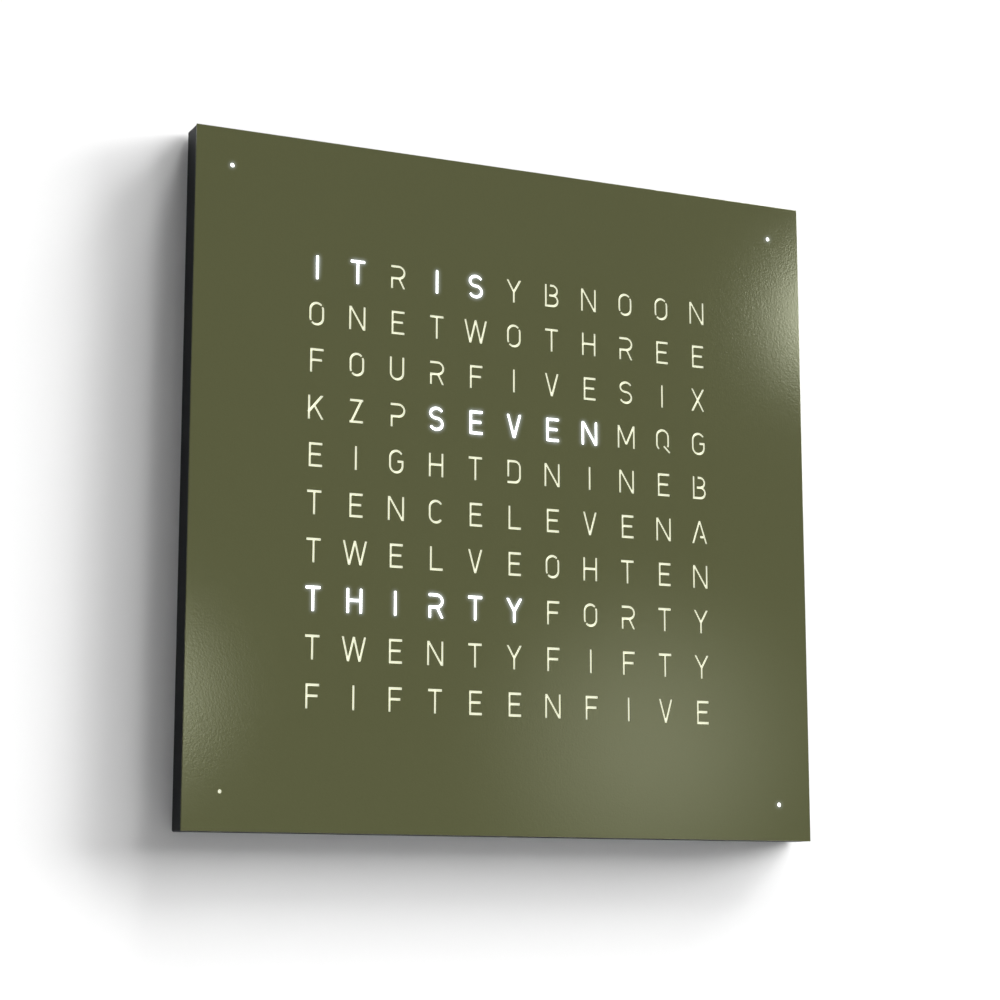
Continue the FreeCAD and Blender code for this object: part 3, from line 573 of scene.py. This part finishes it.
# Maker and settings of the finish that belongs to each material slot.
SLOT_FINISHES = {
    "olive_front": (powder_coat, {"colour": (0.079, 0.083, 0.037)}),
    "black_casing": (
        moulded,
        {
            "colour": (0.0026, 0.0033, 0.0042),
            "roughness": 0.5,
            "mottle": 0.1,
            "specular": 0.13,
            "tint": (0.88, 0.95, 1.0, 1.0),
        },
    ),
    "black_back": (
        moulded,
        {
            "colour": (0.022, 0.022, 0.0245),
            "roughness": 0.5,
            "grain_size": 0.7,
            "grain_depth": 0.035,
            "mottle": 0.1,
            "specular": 0.4,
        },
    ),
    "zinc_steel": (galvanised, {"colour": (0.52, 0.53, 0.54), "roughness": 0.34}),
    "screw_steel": (metal, {"colour": (0.2, 0.2, 0.21), "roughness": 0.3}),
    "bright_steel": (
        metal,
        {"colour": (0.6, 0.6, 0.61), "roughness": 0.24, "stretch": (1, 1, 12)},
    ),
    "nickel_magnet": (metal, {"colour": (0.7, 0.68, 0.64), "roughness": 0.14}),
    "rivet_aluminium": (metal, {"colour": (0.68, 0.69, 0.7), "roughness": 0.38}),
    "black_rubber": (
        moulded,
        {
            "colour": (0.018, 0.018, 0.019),
            "roughness": 0.8,
            "grain_size": 0.3,
            "mottle": 0.15,
            "specular": 0.3,
        },
    ),
    # The diffuser's glow is painted light that brightens the unlit letters in their shaded slots.
    "opal_plastic": (opal, {"colour": (0.83, 0.845, 0.64), "glow": 0.9}),
    "white_plastic": (
        moulded,
        {
            "colour": (0.8, 0.8, 0.78),
            "roughness": 0.5,
            "grain_size": 0.4,
            "grain_depth": 0.01,
            "mottle": 0.03,
        },
    ),
    "white_board": (
        circuit_board,
        {"mask": (0.72, 0.73, 0.71), "trace": (0.62, 0.63, 0.61)},
    ),
    "green_board": (
        circuit_board,
        {"mask": (0.012, 0.10, 0.042), "trace": (0.025, 0.17, 0.07)},
    ),
    "black_chip": (
        moulded,
        {
            "colour": (0.016, 0.016, 0.017),
            "roughness": 0.6,
            "grain_size": 0.25,
            "grain_depth": 0.01,
            "mottle": 0.15,
            "specular": 0.4,
        },
    ),
    "led_package": (
        moulded,
        {
            "colour": (0.85, 0.78, 0.42),
            "roughness": 0.35,
            "grain_size": 0.3,
            "grain_depth": 0.01,
            "mottle": 0.08,
        },
    ),
    "nylon_spacer": (
        moulded,
        {
            "colour": (0.72, 0.71, 0.66),
            "roughness": 0.42,
            "grain_size": 0.6,
            "grain_depth": 0.01,
            "mottle": 0.04,
        },
    ),
    "ferrite": (
        moulded,
        {
            "colour": (0.035, 0.033, 0.033),
            "roughness": 0.7,
            "grain_size": 0.35,
            "grain_depth": 0.05,
            "mottle": 0.25,
            "specular": 0.4,
        },
    ),
    "copper_coil": (
        striped,
        {
            "first": (0.3, 0.11, 0.045),
            "second": (0.68, 0.3, 0.13),
            "pitch": 0.3,
            "axis": "Z",
            "roughness": 0.3,
            "metallic": 1.0,
        },
    ),
    "cable_grey": (
        striped,
        {
            "first": (0.22, 0.22, 0.23),
            "second": (0.32, 0.32, 0.33),
            "pitch": 1.0,
            "axis": "Z",
            "roughness": 0.5,
        },
    ),
    "cable_black": (
        moulded,
        {
            "colour": (0.018, 0.018, 0.019),
            "roughness": 0.5,
            "grain_size": 1.2,
            "mottle": 0.1,
            "specular": 0.4,
        },
    ),
    "button_black": (
        moulded,
        {
            "colour": (0.0075, 0.0078, 0.0088),
            "roughness": 0.42,
            "grain_size": 0.4,
            "grain_depth": 0.01,
            "mottle": 0.08,
            "specular": 0.2,
            "tint": (0.92, 0.96, 1.0, 1.0),
        },
    ),
}
FINISHES = {slot: make(slot, **settings) for slot, (make, settings) in SLOT_FINISHES.items()}
LIT = lit_opal("lit_opal", colour=(0.93, 0.97, 1.0), strength=5.5)


def dress_nodes():
    """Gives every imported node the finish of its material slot."""
    for name, node in frame["nodes"].items():
        node.data.materials.clear()
        node.data.materials.append(FINISHES[FINISH_SLOTS[name]])


# ---- pieces ----


def show(name, form, materials, body, replaced):
    """Turns a bmesh in millimetres into a piece of the clock."""
    bmesh.ops.scale(form, vec=(MM, MM, MM), verts=form.verts)
    mesh = bpy.data.meshes.new(name)
    form.to_mesh(mesh)
    form.free()
    for material in materials:
        mesh.materials.append(material)
    piece = bpy.data.objects.new(name, mesh)
    bpy.context.scene.collection.objects.link(piece)
    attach(piece, body)
    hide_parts(replaced)
    return piece


def packed_form(node):
    """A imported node's mesh as a bmesh in millimetres, with its split vertices joined."""
    form = bmesh.new()
    form.from_mesh(frame["nodes"][node].data)
    bmesh.ops.scale(form, vec=(1 / MM, 1 / MM, 1 / MM), verts=form.verts)
    bmesh.ops.remove_doubles(form, verts=form.verts, dist=WELD)
    return form


def sheet_outlines():
    """The sheet's own outline, then the outline of every opening in it."""
    edge = HALF - EDGE_ROUND
    corners = ((-1, -1), (1, -1), (1, 1), (-1, 1))
    outlines = [[(CENTRE_X + i * edge, CENTRE_Z + j * edge) for i, j in corners]]
    for row, letters in enumerate(LETTER_ROWS):
        for column, letter in enumerate(letters):
            for stroke in LETTERS[letter]:
                outlines.append([(column_x(column) + x, row_z(row) + z) for x, z in stroke])
    turns = [2 * math.pi * i / HOLE_POINTS for i in range(HOLE_POINTS)]
    hole = [(MINUTE_HOLE_RADIUS * math.cos(t), MINUTE_HOLE_RADIUS * math.sin(t)) for t in turns]
    for sign_x in (-1, 1):
        for sign_z in (-1, 1):
            x, z = minute_place(sign_x, sign_z)
            outlines.append([(x + i, z + j) for i, j in hole])
    return outlines


def anticlockwise(outline):
    """The outline, turned round if it runs clockwise."""
    area = sum(a[0] * b[1] - b[0] * a[1] for a, b in zip(outline, outline[1:] + outline[:1]))
    return outline if area > 0 else outline[::-1]


def sheet_triangles():
    """The sheet's points, and the triangles between them that are not in an opening."""
    points = []
    faces = []
    for outline in sheet_outlines():
        faces.append(list(range(len(points), len(points) + len(outline))))
        points.extend(Vector(p) for p in anticlockwise(outline))
    flat, _, triangles, _, _, origins = delaunay_2d_cdt(
        points, [], faces, KEEP_INSIDE, TRIANGLE_SLACK, True
    )
    return flat, [t for t, origin in zip(triangles, origins) if list(origin) == [0]]


def stencilled_front():
    """The front sheet with its letters and minute holes cut through and its front edges rounded."""
    flat, triangles = sheet_triangles()
    form = bmesh.new()
    used = sorted({i for t in triangles for i in t})
    front = {i: form.verts.new((flat[i].x, cover_low.y, flat[i].y)) for i in used}
    back = {}
    corners = {}
    for i in used:
        x, z = flat[i].x - CENTRE_X, flat[i].y - CENTRE_Z
        if abs(x) > HALF - 2 * EDGE_ROUND and abs(z) > HALF - 2 * EDGE_ROUND:
            x, z = math.copysign(HALF, x), math.copysign(HALF, z)
            corners[i] = (x, z)
        back[i] = form.verts.new((CENTRE_X + x, cover_high.y, CENTRE_Z + z))
    uses = {}
    for t in triangles:
        form.faces.new([front[i] for i in t])
        form.faces.new([back[i] for i in reversed(t)])
        for a, b in zip(t, t[1:] + t[:1]):
            uses.setdefault(frozenset((a, b)), []).append((a, b))
    rims = {i: edge_rim(form, front[i], back[i], place) for i, place in corners.items()}
    for edges in uses.values():
        if len(edges) == 1:
            a, b = edges[0]
            line_a = rims.get(a, [front[a], back[a]])
            line_b = rims.get(b, [front[b], back[b]])
            for k in range(len(line_a) - 1):
                form.faces.new((line_a[k], line_a[k + 1], line_b[k + 1], line_b[k]))
    bmesh.ops.recalc_face_normals(form, faces=form.faces)
    olive = FINISHES["olive_front"]
    piece = show("stencilled_front", form, [olive], "cover", "front_cover")
    piece.data.set_sharp_from_angle(angle=math.radians(SMOOTH_ANGLE))
    for face in piece.data.polygons:
        face.use_smooth = abs(face.normal.y) < FLAT_NORMAL


def edge_rim(form, front, back, place):
    """Vertices down one corner of the sheet: along the edge's round, then to the back."""
    line = [front]
    for k in range(1, EDGE_STEPS + 1):
        turn = QUARTER * k / EDGE_STEPS
        inset = EDGE_ROUND * (1 - math.sin(turn))
        x = math.copysign(abs(place[0]) - inset, place[0])
        z = math.copysign(abs(place[1]) - inset, place[1])
        y = cover_low.y + EDGE_ROUND * (1 - math.cos(turn))
        line.append(form.verts.new((CENTRE_X + x, y, CENTRE_Z + z)))
    return line + [back]


def islands(form):
    """The mesh's separate solids, each as a list of vertices."""
    left = set(form.verts)
    found = []
    for first in form.verts:
        if first not in left:
            continue
        left.remove(first)
        island = [first]
        for vert in island:
            for edge in vert.link_edges:
                other = edge.other_vert(vert)
                if other in left:
                    left.remove(other)
                    island.append(other)
        found.append(island)
    return found


def recess_arm(form, middle, turn):
    """One arm of a cross recess: a bar that narrows towards the bottom of the recess."""
    along = Vector((math.cos(turn), 0, math.sin(turn)))
    across = Vector((-math.sin(turn), 0, math.cos(turn)))
    rings = []
    for depth, scale in ((-RECESS_ABOVE, 1.0), (RECESS_DEPTH, RECESS_TAPER)):
        level = middle - Vector((0, depth, 0))
        reach, width = RECESS_REACH * scale, RECESS_WIDTH * scale / 2
        corners = ((-reach, -width), (reach, -width), (reach, width), (-reach, width))
        rings.append([form.verts.new(level + along * i + across * j) for i, j in corners])
    outer, inner = rings
    form.faces.new(outer)
    form.faces.new(inner[::-1])
    for k, corner in enumerate(outer):
        after = (k + 1) % len(outer)
        form.faces.new((corner, inner[k], inner[after], outer[after]))


def scratch_object(form):
    """A bmesh as an object of its own, for a modifier to work with."""
    mesh = bpy.data.meshes.new("scratch")
    form.to_mesh(mesh)
    form.free()
    made = bpy.data.objects.new("scratch", mesh)
    bpy.context.scene.collection.objects.link(made)
    return made


def cut(form, tools):
    """What is left of a bmesh after the tools are cut away one after the other."""
    body = scratch_object(form)
    cutters = [scratch_object(tool) for tool in tools]
    for cutter in cutters:
        modifier = body.modifiers.new("cut", "BOOLEAN")
        modifier.operation = "DIFFERENCE"
        modifier.solver = "EXACT"
        modifier.object = cutter
    left = bmesh.new()
    left.from_object(body, bpy.context.evaluated_depsgraph_get())
    for made in [body, *cutters]:
        bpy.data.objects.remove(made)
    return left


def driven_screws(node):
    """The node's screws, with a cross recess cut into each head and turned as it was tightened."""
    form = packed_form(node)
    arms = [bmesh.new(), bmesh.new()]
    draw = random.Random(len(form.verts))
    for island in islands(form):
        low = [min(v.co[axis] for v in island) for axis in range(3)]
        high = [max(v.co[axis] for v in island) for axis in range(3)]
        head = Vector(((low[0] + high[0]) / 2, high[1], (low[2] + high[2]) / 2))
        turn = draw.uniform(0, QUARTER)
        for k, arm in enumerate(arms):
            recess_arm(arm, head, turn + k * QUARTER)
    for arm in arms:
        bmesh.ops.recalc_face_normals(arm, faces=arm.faces)
    slot = FINISH_SLOTS[node]
    piece = show(f"driven_{node}", cut(form, arms), [FINISHES[slot]], "casing", node)
    piece.data.set_sharp_from_angle(angle=math.radians(SMOOTH_ANGLE))


def lit_windows():
    """Low and high X, low and high Z of each part of the diffuser that a light shines on."""
    half_x = (COLUMN_PITCH - RIB_THICKNESS) / 2
    half_z = (ROW_PITCH - RIB_THICKNESS) / 2
    windows = []
    for row, first, last in LIT_WORDS:
        for column in range(first, last + 1):
            x, z = column_x(column), row_z(row)
            windows.append((x - half_x, x + half_x, z - half_z, z + half_z))
    half = MINUTE_BOX_SIDE / 2 - RIB_THICKNESS
    for signs in LIT_MINUTES:
        x, z = minute_place(*signs)
        windows.append((x - half, x + half, z - half, z + half))
    return windows


def lit_diffuser():
    """The diffuser, with the squares over its lit chambers glowing."""
    windows = lit_windows()
    form = packed_form("diffuser_panel")
    for normal, sides in (((1, 0, 0), (0, 1)), ((0, 0, 1), (2, 3))):
        for place in sorted({window[side] for window in windows for side in sides}):
            every = form.verts[:] + form.edges[:] + form.faces[:]
            cut_place = place * Vector(normal)
            bmesh.ops.bisect_plane(form, geom=every, plane_co=cut_place, plane_no=normal)
    for face in form.faces:
        middle = face.calc_center_median()
        inside = any(w[0] < middle.x < w[1] and w[2] < middle.z < w[3] for w in windows)
        face.material_index = int(inside and face.normal.y < -FLAT_NORMAL)
    opal_and_lit = [FINISHES["opal_plastic"], LIT]
    show("lit_diffuser", form, opal_and_lit, "casing", "diffuser_panel")


# ---- surroundings, lights and camera ----


def plane(name, corners, material):
    """A flat piece of the surroundings."""
    mesh = bpy.data.meshes.new(name)
    mesh.from_pydata([[c * MM for c in corner] for corner in corners], [], [(0, 1, 2, 3)])
    mesh.materials.append(material)
    made = bpy.data.objects.new(name, mesh)
    bpy.context.scene.collection.objects.link(made)


def surroundings():
    """The wall behind the clock, and the floor below it."""
    left, right = -WALL_SPAN / 2, WALL_SPAN / 2
    foot = [(left, WALL_GAP, FLOOR_Z), (right, WALL_GAP, FLOOR_Z)]
    top = [(right, WALL_GAP, WALL_SPAN / 2), (left, WALL_GAP, WALL_SPAN / 2)]
    near = [(left, -FLOOR_DEPTH, FLOOR_Z), (right, -FLOOR_DEPTH, FLOOR_Z)]
    plane("wall", foot + top, plaster("wall_plaster", WALL_TONE, one_sided=True))
    plane("floor", near + foot[::-1], plaster("floor_plaster", FLOOR_TONE, one_sided=False))


def place_lamp(name, data, facing, place=(0, 0, 0)):
    """A lamp in the scene that shines in one direction."""
    lamp = bpy.data.objects.new(name, data)
    lamp.location = place
    lamp.rotation_euler = facing.to_track_quat("-Z", "Y").to_euler()
    bpy.context.scene.collection.objects.link(lamp)


def sun(name, turn, lift, strength, width):
    """A wide, distant light. A negative lift puts it behind the wall."""
    data = bpy.data.lights.new(name, "SUN")
    data.energy = strength
    data.angle = math.radians(width)
    turn, lift = math.radians(turn), math.radians(lift)
    flat = math.cos(lift)
    towards = Vector((flat * math.cos(turn), -math.sin(lift), flat * math.sin(turn)))
    place_lamp(name, data, -towards)


def soft_box(name, place, width, power):
    """A round soft box that faces the clock's middle and fades towards its rim."""
    data = bpy.data.lights.new(name, "AREA")
    data.shape = "DISK"
    data.size = width
    data.energy = power
    data.use_nodes = True
    tree = data.node_tree
    spot = tree.nodes.new("ShaderNodeNewGeometry")
    reach = tree.nodes.new("ShaderNodeVectorMath")
    reach.operation = "DISTANCE"
    reach.inputs[1].default_value = DISK_MIDDLE
    fade = tree.nodes.new("ShaderNodeMapRange")
    fade.interpolation_type = "SMOOTHSTEP"
    fade.inputs["From Min"].default_value = DISK_RADIUS
    fade.inputs["From Max"].default_value = 0.0
    tree.links.new(spot.outputs["Parametric"], reach.inputs[0])
    tree.links.new(reach.outputs["Value"], fade.inputs["Value"])
    tree.links.new(fade.outputs["Result"], tree.nodes["Emission"].inputs["Strength"])
    middle = Vector((CENTRE_X, cover_low.y, CENTRE_Z)) * MM
    place_lamp(name, data, middle - Vector(place), place)


def room():
    """A world that lights the clock dimly, but looks white to the camera."""
    world = bpy.data.worlds.new("room")
    world.use_nodes = True
    tree = world.node_tree
    dim = tree.nodes["Background"]
    dim.inputs["Color"].default_value = WHITE
    dim.inputs["Strength"].default_value = AMBIENT
    seen = tree.nodes.new("ShaderNodeBackground")
    seen.inputs["Color"].default_value = WHITE
    ray = tree.nodes.new("ShaderNodeLightPath")
    mix = tree.nodes.new("ShaderNodeMixShader")
    tree.links.new(ray.outputs["Is Camera Ray"], mix.inputs[0])
    tree.links.new(dim.outputs["Background"], mix.inputs[1])
    tree.links.new(seen.outputs["Background"], mix.inputs[2])
    tree.links.new(mix.outputs["Shader"], tree.nodes["World Output"].inputs["Surface"])
    bpy.context.scene.world = world


def lights():
    """The suns that throw the shadow on the wall, and the soft boxes that the front mirrors."""
    for number, settings in enumerate(SUNS, 1):
        sun(f"sun_{number}", *settings)
    for number, settings in enumerate(SOFT_BOXES, 1):
        soft_box(f"soft_box_{number}", *settings)


def camera():
    """The camera that the photographed view was taken from."""
    data = bpy.data.cameras.new("camera")
    data.lens = CAMERA_LENS
    data.sensor_width = CAMERA_SENSOR
    data.clip_start = CAMERA_NEAR
    view = bpy.data.objects.new("camera", data)
    view.location = CAMERA_PLACE
    view.rotation_euler = Vector(CAMERA_FORWARD).to_track_quat("-Z", "Y").to_euler()
    bpy.context.scene.collection.objects.link(view)
    bpy.context.scene.camera = view


def combined(tree, kind, first, second):
    """The picture that two pictures, or a picture and a colour, make together."""
    node = tree.nodes.new("CompositorNodeMixRGB")
    node.blend_type = kind
    node.inputs[0].default_value = 1.0
    for value, socket in ((first, node.inputs[1]), (second, node.inputs[2])):
        if isinstance(value, bpy.types.NodeSocket):
            tree.links.new(value, socket)
        else:
            socket.default_value = (*value, 1.0)
    return node


def glow():
    """Camera glow round the lit letters: what is brighter than white is blurred and added."""
    scene = bpy.context.scene
    scene.view_settings.view_transform = "Standard"
    scene.use_nodes = True
    tree = scene.node_tree
    tree.nodes.clear()
    seen = tree.nodes.new("CompositorNodeRLayers").outputs["Image"]
    result = tree.nodes.new("CompositorNodeComposite")
    over = combined(tree, "SUBTRACT", seen, [GLOW_THRESHOLD] * 3)
    over.use_clamp = True
    for radius, weight in GLOW_LAYERS:
        blur = tree.nodes.new("CompositorNodeBlur")
        blur.filter_type = "GAUSS"
        blur.inputs["Size"].default_value = (radius, radius)
        tree.links.new(over.outputs["Image"], blur.inputs["Image"])
        tint = [c * weight for c in GLOW_TINT]
        layer = combined(tree, "MULTIPLY", blur.outputs["Image"], tint)
        seen = combined(tree, "ADD", seen, layer.outputs["Image"]).outputs["Image"]
    tree.links.new(seen, result.inputs["Image"])


camera()
dress_nodes()
stencilled_front()
lit_diffuser()
for screws in SCREW_NODES:
    driven_screws(screws)
surroundings()
room()
lights()
glow()
